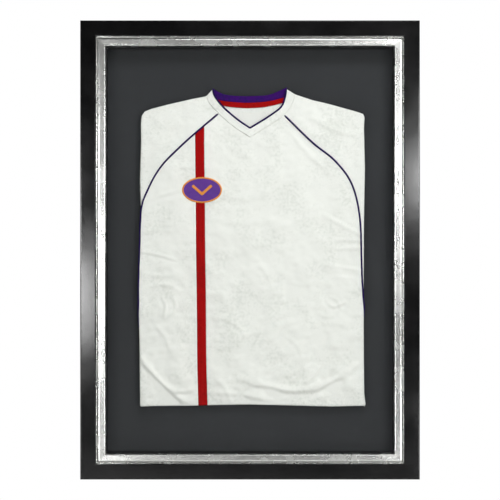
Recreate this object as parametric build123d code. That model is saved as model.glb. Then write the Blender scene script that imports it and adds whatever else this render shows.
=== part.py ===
from build123d import *
import os

os.makedirs("parts", exist_ok=True)

# Wall-hung display frame for a folded sports shirt. Millimetres. X is to the right as seen
# from the front, the front faces -Y, Z is up. The origin lies on the wall plane, midway
# between the two hangers, at the height of the hooks that carry them.

# Driving dimensions
FRAME_W = 588.0
FRAME_H = 795.0
FRAME_DEPTH = 40.0
STANDOFF = 5.0              # wall bumpers hold the frame this far off the wall
HOOK_DROP = 135.0           # top edge of the frame above the hooks

BLACK_W = 26.8              # visible width of the outer moulding
WALL_W = 20.8               # outer moulding behind its lip
LIP_D = 4.8                 # depth of that lip
SLIP_W = 16.4               # visible width of the silver slip
SLIP_D = 11.0               # depth of the slip's flat back
GLAZING_T = 2.0
SPACER_W = 5.0
MOUNT_D = 34.4              # depth of the mount board's face
MOUNT_T = 2.0
BACKING_T = 3.0
REBATE_GAP = 0.5            # between each flat sheet and the rebate

SHIRT_D = 20.0              # depth of the shirt's front surface
CLOTH_T = 1.2
FORMER_T = 5.0
FOLD_T = 2.4                # two layers of cloth folded behind the former
PIPING_R = 1.1
STRIPE_W = 16.0

BUTTON_T = 1.2
BUTTON_GAP = 0.1
BUTTON_REACH = 24.0
BUTTON_W = 12.0
SCREW_R = 1.4
HEAD_R = 2.9
HEAD_T = 1.5
SCREW_L = 11.0
RUN_CLEAR = 0.05            # radial clearance of every turning fit

RING_WIRE_R = 1.1
RING_R = 8.0                # centre line of the ring's round end
RING_SIDE = 3.0
STRAP_T = 0.9
STRAP_W = 12.0
STRAP_L = 25.0
BARREL_LIFT = 2.4           # barrel centre above the back face
HANGER_SCREW_DROPS = (5.5, 19.0)

# Worked out from them
FRONT_Y = -STANDOFF - FRAME_DEPTH
BACK_Y = -STANDOFF
TOP_Z = HOOK_DROP
BOTTOM_Z = TOP_Z - FRAME_H
CENTRE_Z = (TOP_Z + BOTTOM_Z) / 2
SIGHT = BLACK_W + SLIP_W    # from the outer edge to the sight edge
GLAZING_D = SLIP_D
SPACER_D = GLAZING_D + GLAZING_T
BACKING_D = MOUNT_D + MOUNT_T
FORMER_D = SHIRT_D + CLOTH_T + 0.1
BACK_CLOTH_D = FORMER_D + FORMER_T + 0.1
FOLD_D = BACK_CLOTH_D + CLOTH_T + 0.1
RING_Z = -RING_R - RING_SIDE + RING_WIRE_R
WALL_MID = WALL_W / 2       # middle of the moulding's back face, from the outer edge
STILE_X = FRAME_W / 2 - WALL_MID

NODES = {}


def slab(face, depth, thickness, centre_z=CENTRE_Z):
    """Stand a face drawn in front view at a depth behind the frame's front, and thicken it."""
    front = Plane(origin=(0, FRONT_Y + depth, centre_z), x_dir=(1, 0, 0), z_dir=(0, -1, 0))
    return extrude(front * face, thickness, dir=(0, 1, 0))


def shank(x, z, radius, y_out, y_in):
    """Round bar along Y, from y_out (towards the wall) in to y_in."""
    plane = Plane(origin=(x, y_out, z), z_dir=(0, -1, 0))
    return extrude(plane * Circle(radius), y_out - y_in)


def mitred(section, length, side):
    """One frame member: its section swept along the side and cut at 45 degrees at both ends."""
    end = Plane(origin=(length / 2, FRONT_Y, 0), x_dir=(0, 0, 1), z_dir=(-1, 0, 0))
    bar = extrude(end * section, length)
    reach = SIGHT + 5
    wedge = Polygon(
        (-length / 2, 0), (length / 2, 0), (length / 2 - reach, reach), (reach - length / 2, reach),
        align=None)
    bar = bar & slab(wedge, -1, FRAME_DEPTH + 2, 0)
    turn, place = {
        "bottom": (0, (0, 0, BOTTOM_Z)),
        "top": (180, (0, 0, TOP_Z)),
        "left": (90, (-FRAME_W / 2, 0, CENTRE_Z)),
        "right": (-90, (FRAME_W / 2, 0, CENTRE_Z)),
    }[side]
    return Pos(*place) * Rot(0, turn, 0) * bar


def four_members(name, section, cuts=None):
    """Top and bottom rails and left and right stiles of one section."""
    for side in ("top", "bottom", "left", "right"):
        length = FRAME_W if side in ("top", "bottom") else FRAME_H
        member = mitred(section, length, side)
        if cuts is not None:
            member = member - cuts
        kind = "rail" if side in ("top", "bottom") else "stile"
        NODES[f"{name}_{kind}_{side}"] = member


# Fixings in the back of the frame -----------------------------------------------------------

def v_nail(corner_x, corner_z, from_corner, depth, height, leg):
    """V-shaped steel nail driven across a mitre from behind, one leg in each member."""
    toward_x = -1 if corner_x > 0 else 1
    toward_z = -1 if corner_z > CENTRE_Z else 1
    diagonal = 135 if toward_x * toward_z < 0 else 45
    if toward_z < 0:
        diagonal += 180
    spread = 0.7 * leg
    shape = Polygon(
        (-0.4, 0), (leg, spread + 0.4), (leg, spread - 0.4), (0.6, 0),
        (leg, 0.4 - spread), (leg, -0.4 - spread), align=None)
    place = Pos(corner_x + toward_x * from_corner, corner_z - CENTRE_Z + toward_z * from_corner)
    return slab(place * Rot(0, 0, diagonal) * shape, depth, height)


CORNERS = [(sx * FRAME_W / 2, z) for sx in (-1, 1) for z in (BOTTOM_Z, TOP_Z)]
frame_nails = [
    v_nail(x, z, inset, FRAME_DEPTH - 12.3, 12.0, 5.0) for x, z in CORNERS for inset in (4.5, 12.0)]
slip_nails = [v_nail(x, z, 33.0, 5.7, 5.0, 4.0) for x, z in CORNERS]
NODES["frame_v_nails"] = Compound(children=frame_nails)
NODES["slip_v_nails"] = Compound(children=slip_nails)

# Each turn button: where its screw goes, and the way its tip points at rest (degrees in front
# view, counter-clockwise from +X).
BUTTON_RISE = FRAME_H / 2 - 100
BUTTON_PLACES = [
    (-STILE_X, CENTRE_Z + BUTTON_RISE, 0), (-STILE_X, CENTRE_Z, 0), (-STILE_X, CENTRE_Z - BUTTON_RISE, 0),
    (STILE_X, CENTRE_Z + BUTTON_RISE, 180), (STILE_X, CENTRE_Z, 180), (STILE_X, CENTRE_Z - BUTTON_RISE, 180),
    (0, TOP_Z - WALL_MID, -90), (0, BOTTOM_Z + WALL_MID, 90),
]


def screw(x, z, under_head_y):
    """Pan-head wood screw driven in from behind, with a cross recess."""
    head = shank(x, z, HEAD_R, under_head_y + HEAD_T, under_head_y)
    head = fillet(head.faces().sort_by(Axis.Y)[-1].edges(), 0.8)
    cross = Box(0.7, 0.9, 3.4) + Box(3.4, 0.9, 0.7)
    head = head - Pos(x, under_head_y + HEAD_T, z) * cross
    return head + shank(x, z, SCREW_R, under_head_y + 0.1, under_head_y - SCREW_L)


button_head_y = BACK_Y + 2 * BUTTON_GAP + BUTTON_T
button_screws = [screw(x, z, button_head_y) for x, z, _ in BUTTON_PLACES]
hanger_places = [
    (side * STILE_X, RING_Z - drop) for side in (-1, 1) for drop in HANGER_SCREW_DROPS]
hanger_screws = [screw(x, z, BACK_Y + STRAP_T) for x, z in hanger_places]
screw_holes = [
    shank(x, z, SCREW_R + 0.02, BACK_Y + 1, BACK_Y - SCREW_L)
    for x, z in hanger_places + [(x, z) for x, z, _ in BUTTON_PLACES]]
NODES["turn_button_screws"] = Compound(children=button_screws)
NODES["hanger_screws"] = Compound(children=hanger_screws)

# Outer moulding: gloss black, with a lip over the slip ---------------------------------------

moulding = Polygon(
    (0, 0), (BLACK_W, 0), (BLACK_W, LIP_D), (WALL_W, LIP_D), (WALL_W, FRAME_DEPTH),
    (0, FRAME_DEPTH), align=None)
moulding = fillet(moulding.vertices().sort_by_distance((0, 0))[:1], 2.0)
moulding = fillet(moulding.vertices().sort_by_distance((BLACK_W, 0))[:1], 1.0)
four_members("outer", moulding, frame_nails + screw_holes)

# Silver slip: a small outer reed, a rounded shoulder, a broad face and a bead at the sight edge.

REED_W = 1.4
SHOULDER_W = 33.5
FACE_END_W = 40.2
BEAD_R = 1.25
slip_start = WALL_W + 0.3
reed_end = BLACK_W + 0.2 + REED_W
bead_start = SIGHT - 2 * BEAD_R
slip_outline = [
    Line((slip_start, LIP_D), (BLACK_W + 0.2, LIP_D)),
    ThreePointArc((BLACK_W + 0.2, LIP_D), (BLACK_W + 0.2 + REED_W / 2, LIP_D - REED_W / 2), (reed_end, LIP_D)),
    ThreePointArc((reed_end, LIP_D), (reed_end + 1.9, 3.25), (SHOULDER_W, 2.6)),
    Line((SHOULDER_W, 2.6), (FACE_END_W, 2.9)),
    Line((FACE_END_W, 2.9), (FACE_END_W, 3.6)),
    Line((FACE_END_W, 3.6), (bead_start, 3.6)),
    ThreePointArc((bead_start, 3.6), (bead_start + BEAD_R, 3.6 - BEAD_R), (SIGHT, 3.6)),
    Line((SIGHT, 3.6), (SIGHT, SLIP_D)),
    Line((SIGHT, SLIP_D), (slip_start, SLIP_D)),
    Line((slip_start, SLIP_D), (slip_start, LIP_D)),
]
four_members("slip", make_face(Wire(slip_outline)), slip_nails)

# Glazing, spacers, mount board and backing board ---------------------------------------------

rebate_w = FRAME_W - 2 * WALL_W - 2 * REBATE_GAP
rebate_h = FRAME_H - 2 * WALL_W - 2 * REBATE_GAP
sheet = Rectangle(rebate_w, rebate_h)
NODES["glazing_sheet"] = slab(sheet, GLAZING_D, GLAZING_T)
NODES["mount_board"] = slab(sheet, MOUNT_D, MOUNT_T)
NODES["backing_board"] = slab(sheet, BACKING_D, BACKING_T)

spacer_end = SIGHT - 0.2
spacer = Polygon(
    (spacer_end - SPACER_W, SPACER_D), (spacer_end, SPACER_D), (spacer_end, MOUNT_D),
    (spacer_end - SPACER_W, MOUNT_D), align=None)
four_members("spacer", spacer)

# Shirt outline, drawn in front view about the frame's centre ----------------------------------

NECK_LEFT = (-65.5, 282.0)
NECK_RIGHT = (64.0, 282.0)
NECK_POINT = (0.0, 213.5)
HEM_Z = -273.0

# Clockwise from the left end of the neck. The sides and the hem wander a little, as cloth does.
body_outline = Polyline(
    NECK_LEFT, NECK_RIGHT, (80.0, 272.5), (110.0, 262.5), (141.0, 255.3), (172.0, 246.6),
    (190.0, 241.0), (197.0, 235.0), (199.8, 224.0), (201.6, 143.0), (199.6, 40.0), (199.4, -90.0),
    (199.6, -180.0), (201.0, HEM_Z), (150.0, -274.0), (0.0, -271.0), (-110.0, HEM_Z),
    (-192.8, -274.0), (-194.0, -160.0), (-195.6, -90.0), (-192.5, 45.0), (-190.8, 70.0),
    (-193.2, 118.0), (-191.2, 190.0), (-191.4, 222.0), (-190.0, 235.0), (-184.7, 243.0),
    (-172.0, 247.8), (-143.0, 255.2), (-100.0, 265.0), (-77.0, 269.5), close=True)
body = make_face(body_outline)

neck_line = Spline(NECK_LEFT, (-61.0, 268.0), (-45.5, 249.0), (-21.0, 228.0), NECK_POINT)
neck_line_right = Spline(NECK_POINT, (31.5, 233.0), (54.0, 250.0), (61.0, 266.0), NECK_RIGHT)
neck_top = Polyline(NECK_RIGHT, (64.0, 315.0), (-65.5, 315.0), NECK_LEFT)
neck = make_face(Wire([neck_line, neck_line_right, *neck_top.edges()]))
collar_outer = make_face(Wire([
    Spline((-79.0, 275.0), (-74.0, 260.0), (-55.5, 239.0), (-28.0, 215.0), (0.0, 197.0)),
    Spline((0.0, 197.0), (37.5, 219.5), (64.0, 239.5), (73.5, 258.0), (78.0, 275.0)),
    *Polyline((78.0, 275.0), (78.0, 317.0), (-79.0, 317.0), (-79.0, 275.0)).edges()]))

# The raglan seams run from the collar to the side edges and on down just inside them.
SEAM_LEFT_TOP = (-55.5, 239.0)
SEAM_LEFT_END = (-196.0, -142.0)
SEAM_RIGHT_TOP = (60.0, 236.0)
SEAM_RIGHT_END = (203.5, -91.0)
seam_left = Spline(
    SEAM_LEFT_TOP, (-119.6, 183.3), (-158.5, 142.0), (-183.7, 98.0), (-189.5, 40.0),
    (-189.8, -60.0), SEAM_LEFT_END)
seam_right = Spline(
    SEAM_RIGHT_TOP, (108.5, 189.0), (149.7, 155.0), (178.0, 115.5), (192.3, 61.0),
    (195.3, -10.0), SEAM_RIGHT_END)
left_of_seam = make_face(Wire([
    seam_left,
    *Polyline(SEAM_LEFT_END, (-230.0, -142.0), (-230.0, 330.0), (-40.0, 330.0), SEAM_LEFT_TOP).edges()]))
right_of_seam = make_face(Wire([
    seam_right,
    *Polyline(SEAM_RIGHT_END, (230.0, -91.0), (230.0, 330.0), (40.0, 330.0), SEAM_RIGHT_TOP).edges()]))

# Shirt: the front wraps round a flat former, and the rest is folded behind it ------------------

shell_depth = BACK_CLOTH_D - SHIRT_D - 0.05
hollow = slab(offset(body, -CLOTH_T - 0.1), SHIRT_D + CLOTH_T, shell_depth)
shell = slab(body, SHIRT_D, shell_depth) - hollow - slab(neck, SHIRT_D - 1, shell_depth + 2)


# Seams: the pipings are separate strips, and the panels end against them.
body_block = slab(body, SHIRT_D - 1, shell_depth)
seams = {
    "collar_piping": Wire([neck_line, neck_line_right]),
    "raglan_piping_left": seam_left,
    "raglan_piping_right": seam_right,
}
for name, seam in seams.items():
    strip = trace(seam, 2 * PIPING_R)
    NODES[name] = slab(strip, SHIRT_D - 0.5, CLOTH_T + 0.4) & body_block
    shell = shell - slab(strip, SHIRT_D - 1, CLOTH_T + 1)

# The stripe is let into the front panel from the raglan seam down to the hem.
STRIPE_X = -87.5
stripe_face = Pos(STRIPE_X, 0) * Rectangle(STRIPE_W, 2 * abs(HEM_Z) + 10)
whole_depth = shell_depth + 1
collar_zone = slab(collar_outer, SHIRT_D - 1, whole_depth + 1)
left_zone = slab(left_of_seam, SHIRT_D - 1, whole_depth + 1)
right_zone = slab(right_of_seam, SHIRT_D - 1, whole_depth + 1)
panels = {
    "collar_front": shell & collar_zone,
    "shoulder_left": (shell - collar_zone) & left_zone,
    "shoulder_right": (shell - collar_zone) & right_zone,
    "front_panel": shell - collar_zone - left_zone - right_zone,
}
stripe_zone = slab(stripe_face, SHIRT_D - 1, whole_depth + 1)
NODES["front_stripe"] = panels["front_panel"] & stripe_zone
beside_stripe = (panels["front_panel"] - stripe_zone).solids().sort_by(Axis.X)
panels["side_panel"] = beside_stripe[0]
panels["front_panel"] = beside_stripe[-1]
for name, panel in panels.items():
    NODES[f"shirt_{name}"] = panel

# Chest badge: a plain oval patch, stitched over the stripe.
BADGE_W = 70.0
BADGE_H = 45.0
BADGE_X = -84.0
BADGE_Z = 105.0
NODES["chest_badge"] = slab(Pos(BADGE_X, BADGE_Z) * Ellipse(BADGE_W / 2, BADGE_H / 2), SHIRT_D - 0.9, 0.8)

# Back of the shirt, behind the former, with its collar band and neck tape inside the neck.


def neck_curve(side_x, side_z, dip_z):
    """One curved line across the back of the neck, dipping in the middle."""
    return ThreePointArc((-side_x, side_z), (0, dip_z), (side_x, side_z))


def neck_band(upper, lower):
    """Face between two such lines."""
    return make_face(Wire([upper, Line(upper @ 1, lower @ 1), lower, Line(lower @ 0, upper @ 0)]))


scoop = neck_curve(63.0, 281.0, 270.0)
band_foot = neck_curve(60.0, 271.0, 261.0)
tape_foot = neck_curve(58.0, 261.0, 249.5)
scoop_cut = make_face(Wire([scoop, *Polyline(scoop @ 1, (63, 310), (-63, 310), scoop @ 0).edges()]))
NODES["shirt_back_panel"] = slab(body - scoop_cut, BACK_CLOTH_D, CLOTH_T)
NODES["collar_band_back"] = slab(neck_band(scoop, band_foot) & neck, BACK_CLOTH_D - 1.3, CLOTH_T)
NODES["neck_tape"] = slab(neck_band(band_foot, tape_foot) & neck, BACK_CLOTH_D - 1.3, CLOTH_T)

former_neck = Polygon(
    (-77, 320), (-77, 275), (-61, 249), (-28, 215), (0, 200), (30, 217), (63, 245), (76, 269), (76, 320),
    align=None)
former_block = slab(offset(body, -CLOTH_T - 0.2), FORMER_D, FORMER_T)
NODES["shirt_former"] = former_block - slab(former_neck, FORMER_D - 1, FORMER_T + 2)

# Cloth folded behind the back panel: sleeves above, sides and hem below.
FOLD_INNER = 100.0
for sign, name, edge in ((-1, "left", 188.0), (1, "right", 196.5)):
    sleeve = Polygon(
        (sign * edge, 222), (sign * edge, 66), (sign * 78, 20), (sign * 70, 190), align=None)
    side = Polygon(
        (sign * edge, 55), (sign * FOLD_INNER, 15), (sign * FOLD_INNER, HEM_Z + 4),
        (sign * edge, HEM_Z + 4), align=None)
    NODES[f"folded_sleeve_{name}"] = slab(sleeve, FOLD_D, FOLD_T)
    NODES[f"folded_side_{name}"] = slab(side, FOLD_D, FOLD_T)
hem = Pos(0, HEM_Z + 27) * Rectangle(2 * FOLD_INNER - 4, 46)
NODES["folded_hem"] = slab(hem, FOLD_D, CLOTH_T)

# Adhesive foam pads between the shirt's back and the mount board, and dress pins in the former.
PAD = 34.0
pad_depth = BACK_CLOTH_D + CLOTH_T
pads = [
    slab(Pos(x, z) * RectangleRounded(PAD, PAD, 4), pad_depth, MOUNT_D - pad_depth)
    for x in (-38, 38) for z in (-160, 0, 160)]
NODES["mounting_pads"] = Compound(children=pads)

PIN_R = 0.35
PIN_HEAD_R = 0.9
pin_back_y = FRONT_Y + FOLD_D + FOLD_T + 0.2
pin_places = [(sign * 150, z) for sign in (-1, 1) for z in (150, 100, -40, -120, -200)]
pins = [
    shank(x, CENTRE_Z + z, PIN_R, pin_back_y, pin_back_y - 7.0)
    + shank(x, CENTRE_Z + z, PIN_HEAD_R, pin_back_y + 0.6, pin_back_y)
    for x, z in pin_places]
NODES["dress_pins"] = Compound(children=pins)

# Back hardware ---------------------------------------------------------------------------------

button_face = RectangleRounded(BUTTON_REACH + BUTTON_W, BUTTON_W, BUTTON_W / 2 - 0.01)
button_face = Pos(BUTTON_REACH / 2, 0) * button_face - Circle(SCREW_R + RUN_CLEAR)
for number, (x, z, heading) in enumerate(BUTTON_PLACES, start=1):
    button = slab(
        Pos(x, z - CENTRE_Z) * Rot(0, 0, heading) * button_face, FRAME_DEPTH + BUTTON_GAP, BUTTON_T)
    NODES[f"turn_button_{number}"] = button

barrel_y = BACK_Y + BARREL_LIFT
bore_r = RING_WIRE_R + RUN_CLEAR


def strap(x):
    """Steel strap with two screw holes, rolled into a barrel round the ring's bar."""
    lower = RING_Z - STRAP_L
    plate_face = Pos(x, (RING_Z + lower) / 2) * Rectangle(STRAP_W, STRAP_L)
    foot = plate_face.vertices().filter_by_position(Axis.Y, lower - 0.1, lower + 0.1)
    plate_face = fillet(foot, 3.0)
    for drop in HANGER_SCREW_DROPS:
        plate_face = plate_face - Pos(x, RING_Z - drop) * Circle(SCREW_R + RUN_CLEAR)
    plate = slab(plate_face, FRAME_DEPTH, STRAP_T, 0)
    bend = Pos(x, BACK_Y + 0.75, RING_Z) * Box(STRAP_W, 1.5, 1.6)
    along_x = Plane(origin=(x - STRAP_W / 2, barrel_y, RING_Z), z_dir=(1, 0, 0))
    outside = extrude(along_x * Circle(bore_r + STRAP_T), STRAP_W)
    return (plate + bend + outside) - extrude(along_x * Circle(bore_r), STRAP_W)


def ring(x):
    """D-shaped wire ring hanging down from its straight bar."""
    arc_z = RING_Z - RING_SIDE
    bar = Pos(x, barrel_y, RING_Z) * Rot(0, 90, 0) * Cylinder(RING_WIRE_R, 2 * RING_R)
    loop = bar
    for sign in (-1, 1):
        leg = Pos(x + sign * RING_R, barrel_y, RING_Z - RING_SIDE / 2)
        loop = loop + leg * Cylinder(RING_WIRE_R, RING_SIDE)
        loop = loop + Pos(x + sign * RING_R, barrel_y, RING_Z) * Sphere(RING_WIRE_R)
    bend = Pos(x, barrel_y, arc_z) * Rot(-90, 0, 0) * Torus(RING_R, RING_WIRE_R, major_angle=180, align=None)
    return loop + bend


for sign, name in ((-1, "left"), (1, "right")):
    NODES[f"hanger_strap_{name}"] = strap(sign * STILE_X)
    NODES[f"hanger_ring_{name}"] = ring(sign * STILE_X)

BUMPER_R = 6.0
bumpers = []
for corner_x, corner_z in CORNERS:
    x = corner_x - WALL_MID if corner_x > 0 else corner_x + WALL_MID
    z = corner_z - WALL_MID if corner_z > CENTRE_Z else corner_z + WALL_MID
    bumpers.append(shank(x, z, BUMPER_R, 0, BACK_Y))
NODES["wall_bumpers"] = Compound(children=bumpers)

for name, node in NODES.items():
    export_step(node, f"parts/{name}.step")
print(len(NODES), "nodes")
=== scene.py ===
import bmesh
import bpy
import numpy as np
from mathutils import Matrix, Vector


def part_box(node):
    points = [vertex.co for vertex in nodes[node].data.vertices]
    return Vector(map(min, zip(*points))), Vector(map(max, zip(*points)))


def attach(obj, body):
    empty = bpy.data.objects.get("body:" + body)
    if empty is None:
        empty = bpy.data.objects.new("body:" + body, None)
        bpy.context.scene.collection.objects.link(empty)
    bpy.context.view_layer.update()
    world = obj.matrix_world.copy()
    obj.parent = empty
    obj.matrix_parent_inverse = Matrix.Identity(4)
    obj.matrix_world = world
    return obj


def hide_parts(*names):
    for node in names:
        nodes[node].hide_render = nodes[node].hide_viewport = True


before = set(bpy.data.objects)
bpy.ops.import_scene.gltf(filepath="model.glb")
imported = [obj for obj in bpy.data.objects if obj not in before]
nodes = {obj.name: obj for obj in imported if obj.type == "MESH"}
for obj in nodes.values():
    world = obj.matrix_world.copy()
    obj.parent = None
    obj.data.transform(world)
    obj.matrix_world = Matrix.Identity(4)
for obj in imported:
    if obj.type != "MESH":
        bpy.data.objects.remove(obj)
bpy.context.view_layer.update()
MM = 0.001

# ---- Studio ----------------------------------------------
# A plain pale floor below the hung frame and a white surround. A high key light and a broad
# front fill light the object, and smaller cards beside the camera only show as soft
# reflections in the gloss moulding and the silver slip.

rail_low, rail_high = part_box("outer_rail_bottom")
top_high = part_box("outer_rail_top")[1]
FRONT_Y = rail_low.y
BACK_Y = rail_high.y
CENTRE_Z = (rail_low.z + top_high.z) / 2
CAMERA_DISTANCE = 1.65
VIEW_WIDTH = 0.865          # what the camera takes in at the plane of the frame's face
SENSOR = 36.0


def linear(hex_colour):
    """sRGB hex to linear RGB: each channel is raised to 2.4 after its offset, or divided where dark."""
    c = np.array([int(hex_colour[k:k + 2], 16) / 255 for k in (0, 2, 4)])
    return (*np.where(c <= 0.04045, c / 12.92, ((c + 0.055) / 1.055) ** 2.4), 1)


def add_node(tree, kind, settings=None, links=None):
    """Adds a shader node: settings are its attributes, input values or colour stops, links its
    inputs' sources, each a socket or the node whose first output is meant."""
    node = tree.nodes.new("ShaderNode" + kind)
    for key, value in (settings or {}).items():
        if key == "stops":
            bar = node.color_ramp.elements
            while len(bar) < len(value):
                bar.new(0.5)
            for element, (place, tone) in zip(bar, value):
                element.position = place
                element.color = linear(tone) if isinstance(tone, str) else (tone, tone, tone, 1)
        elif isinstance(key, str) and hasattr(node, key):
            setattr(node, key, value)
        else:
            node.inputs[key].default_value = value
    for key, source in (links or {}).items():
        tree.links.new(source.outputs[0] if hasattr(source, "outputs") else source, node.inputs[key])
    return node


def link_object(name, data):
    """Puts new data in the scene as an object."""
    thing = bpy.data.objects.new(name, data)
    bpy.context.scene.collection.objects.link(thing)
    return thing


def soft_light(name, place, target, size, watts):
    """A rectangular area light at place, turned to face target."""
    data = bpy.data.lights.new(name, "AREA")
    data.shape = "RECTANGLE"
    data.size, data.size_y = size
    data.energy = watts
    lamp = link_object(name, data)
    lamp.location = place
    aim = np.array(target) - np.array(place)
    lamp.rotation_euler = Vector(aim).to_track_quat("-Z", "Y").to_euler()
    return lamp


camera_y = FRONT_Y - CAMERA_DISTANCE
camera_data = bpy.data.cameras.new("camera")
camera_data.sensor_width = SENSOR
camera_data.lens = SENSOR * CAMERA_DISTANCE / VIEW_WIDTH
camera = link_object("camera", camera_data)
camera.location = (0, camera_y, CENTRE_Z)
camera.rotation_euler = (np.pi / 2, 0, 0)
bpy.context.scene.camera = camera
bpy.context.scene.view_settings.view_transform = "Standard"

centre = (0, FRONT_Y, CENTRE_Z)
LAMPS = (           # name, metres to the right, forward and up from the camera, size in metres, watts
    ("key", (0.45, 0.35, 1.50), (1.2, 0.6), 28),
    ("front_fill", (0.30, 0.1, 0.05), (1.2, 1.2), 9.6),
    ("card_top", (0.20, 0.1, 1.16), (0.7, 0.26), 7),
    ("card_left", (-1, 0.1, 0.10), (0.40, 0.28), 21),
    ("card_right", (1, 0.1, 0.36), (0.40, 0.36), 24),
    ("card_low", (0.25, 0.1, -0.95), (1.8, 0.30), 4.6),
    ("low_left", (-0.95, 0.1, -0.64), (0.40, 0.24), 4),
    ("low_right", (0.95, 0.1, -0.64), (0.40, 0.24), 8),
    ("strip_left", (-0.68, 0, -0.17), (0.24, 0.28), 7),
    ("strip_right", (0.68, 0, 0.25), (0.24, 0.20), 3.6))
for name, (right, forward, rise), size, watts in LAMPS:
    aim = (right, 0, CENTRE_Z + rise) if name.startswith("strip") else centre
    lamp = soft_light(name, (right, camera_y + forward, CENTRE_Z + rise), aim, size, watts)
    lamp.visible_diffuse = name in ("key", "front_fill")
    lamp.visible_glossy = not lamp.visible_diffuse

SEEN_WHITE = 1.0        # how bright the surround is to the camera,
FILL_WHITE = 0.27       # as light on the object,
GLOSS_BEHIND = 0.02     # in reflections of what is behind the camera,
GLOSS_ASIDE = 0.11      # of what is to the sides,
GLOSS_BELOW = 5.0       # and how many times that from below
world = bpy.data.worlds.new("surround")
world.use_nodes = True
sky = world.node_tree
sky.nodes.clear()
ray = add_node(sky, "LightPath")
seen = add_node(sky, "Background", {"Color": (1, 1, 1, 1), "Strength": SEEN_WHITE})
fill = add_node(sky, "Background", {"Color": (1, 1, 1, 1), "Strength": FILL_WHITE})
heading = add_node(sky, "SeparateXYZ", {}, {
    0: add_node(sky, "TexCoord").outputs["Generated"]})
aside = add_node(sky, "MapRange", {
    "interpolation_type": "SMOOTHSTEP", 1: -0.93, 2: -0.70, 3: GLOSS_BEHIND, 4: GLOSS_ASIDE}, {
        0: heading.outputs[1]})
below = add_node(sky, "MapRange", {
    "interpolation_type": "SMOOTHSTEP", 1: -0.26, 2: -0.10, 3: GLOSS_BELOW, 4: 1}, {
        0: heading.outputs[2]})
gloss = add_node(sky, "Math", {"operation": "MULTIPLY"}, {0: aside, 1: below})
mirrored = add_node(sky, "Background", {"Color": (0.97, 0.985, 1, 1)}, {"Strength": gloss})
lit = add_node(sky, "MixShader", {}, {0: ray.outputs["Is Glossy Ray"], 1: fill, 2: mirrored})
shown = add_node(sky, "MixShader", {}, {0: ray.outputs["Is Camera Ray"], 1: lit, 2: seen})
add_node(sky, "OutputWorld", {}, {0: shown})
bpy.context.scene.world = world


def material(name, coordinates=None):
    """A new material, its empty node tree and, if they are named, its surface's coordinates."""
    made = bpy.data.materials.new(name)
    made.use_nodes = True
    tree = made.node_tree
    tree.nodes.clear()
    return made, tree, add_node(tree, "TexCoord").outputs[coordinates] if coordinates else None


FLOOR_DROP = 0.30
FLOOR_FRONT = FRONT_Y - 1.1     # short of where the glazing would mirror it to the camera
FLOOR_BACK = 0.35
FLOOR_HALF = 2
floor_mesh = bpy.data.meshes.new("floor")
floor_mesh.from_pydata([
    (x, y, rail_low.z - FLOOR_DROP) for x, y in (
        (-FLOOR_HALF, FLOOR_FRONT), (FLOOR_HALF, FLOOR_FRONT), (FLOOR_HALF, FLOOR_BACK),
        (-FLOOR_HALF, FLOOR_BACK))], [], [(0, 1, 2, 3)])
floor = link_object("floor", floor_mesh)
pale, tree, _ = material("pale painted floor")
paint = add_node(tree, "BsdfPrincipled", {"Base Color": linear("F6F6F4"), "Roughness": 0.8})
add_node(tree, "OutputMaterial", {}, {0: paint})
floor_mesh.materials.append(pale)

# ---- Outer moulding --------------------------------------
# Four lengths of timber moulding wrapped in gloss black foil and mitred. The foil covers the
# face and the outer edge, and the back is bare planed pine.


def wrapped_timber(name, grain_along):
    """Vinyl foil wrapped on pine: a deep even black gloss with a slow ripple some 18 mm across and
    fine smears, and on the back bare wood, its grain 2.4 mm wide and drawn out 17 times along."""
    made, tree, place = material(name, "Object")
    ripple = add_node(tree, "TexNoise", {"Scale": 1 / (18 * MM), "Detail": 2}, {0: place})
    smears = add_node(tree, "TexNoise", {"Scale": 1 / (55 * MM), "Detail": 5}, {0: place})
    polish = add_node(tree, "ValToRGB", {"stops": [(0.35, 0.15), (0.75, 0.21)]}, {0: smears})
    black = add_node(tree, "ValToRGB", {"stops": [(0.3, "030303"), (0.7, "070708")]}, {0: ripple})
    foil_relief = add_node(tree, "Bump", {"Strength": 0.10, "Distance": 0.4 * MM}, {"Height": ripple})
    foil = add_node(tree, "BsdfPrincipled", {"IOR": 1.42}, {
        "Base Color": black, "Roughness": polish, "Normal": foil_relief})
    drawn = add_node(tree, "Mapping", {
        "Scale": tuple(0.06 if k == grain_along else 1.0 for k in range(3))}, {0: place})
    grain = add_node(tree, "TexNoise", {"Scale": 1 / (2.4 * MM), "Detail": 6}, {0: drawn})
    pine = add_node(tree, "ValToRGB", {
        "stops": [(0.25, "B98F5C"), (0.55, "D6B383"), (0.8, "E3C79B")]}, {0: grain})
    wood_relief = add_node(tree, "Bump", {"Strength": 0.35, "Distance": 0.3 * MM}, {"Height": grain})
    bare = add_node(tree, "BsdfPrincipled", {"Roughness": 0.78}, {
        "Base Color": pine, "Normal": wood_relief})
    depth = add_node(tree, "SeparateXYZ", {}, {0: place})
    sawn = add_node(tree, "Math", {"operation": "GREATER_THAN", 1: BACK_Y - 0.05 * MM}, {
        0: depth.outputs["Y"]})
    both = add_node(tree, "MixShader", {}, {0: sawn, 1: foil, 2: bare})
    add_node(tree, "OutputMaterial", {}, {0: both})
    return made


def dress(node, finish):
    """Gives a CAD node a finish in every material slot."""
    slots = nodes[node].data.materials
    slots.clear()
    slots.append(finish)


def dress_members(prefix, rail_finish, stile_finish):
    """Gives the two rails and the two stiles of a mitred frame their finishes."""
    for member in ("top", "bottom"):
        dress(f"{prefix}_rail_{member}", rail_finish)
    for member in ("left", "right"):
        dress(f"{prefix}_stile_{member}", stile_finish)


dress_members("outer", wrapped_timber("gloss black foil on pine, rails", 0),
              wrapped_timber("gloss black foil on pine, stiles", 2))

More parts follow.
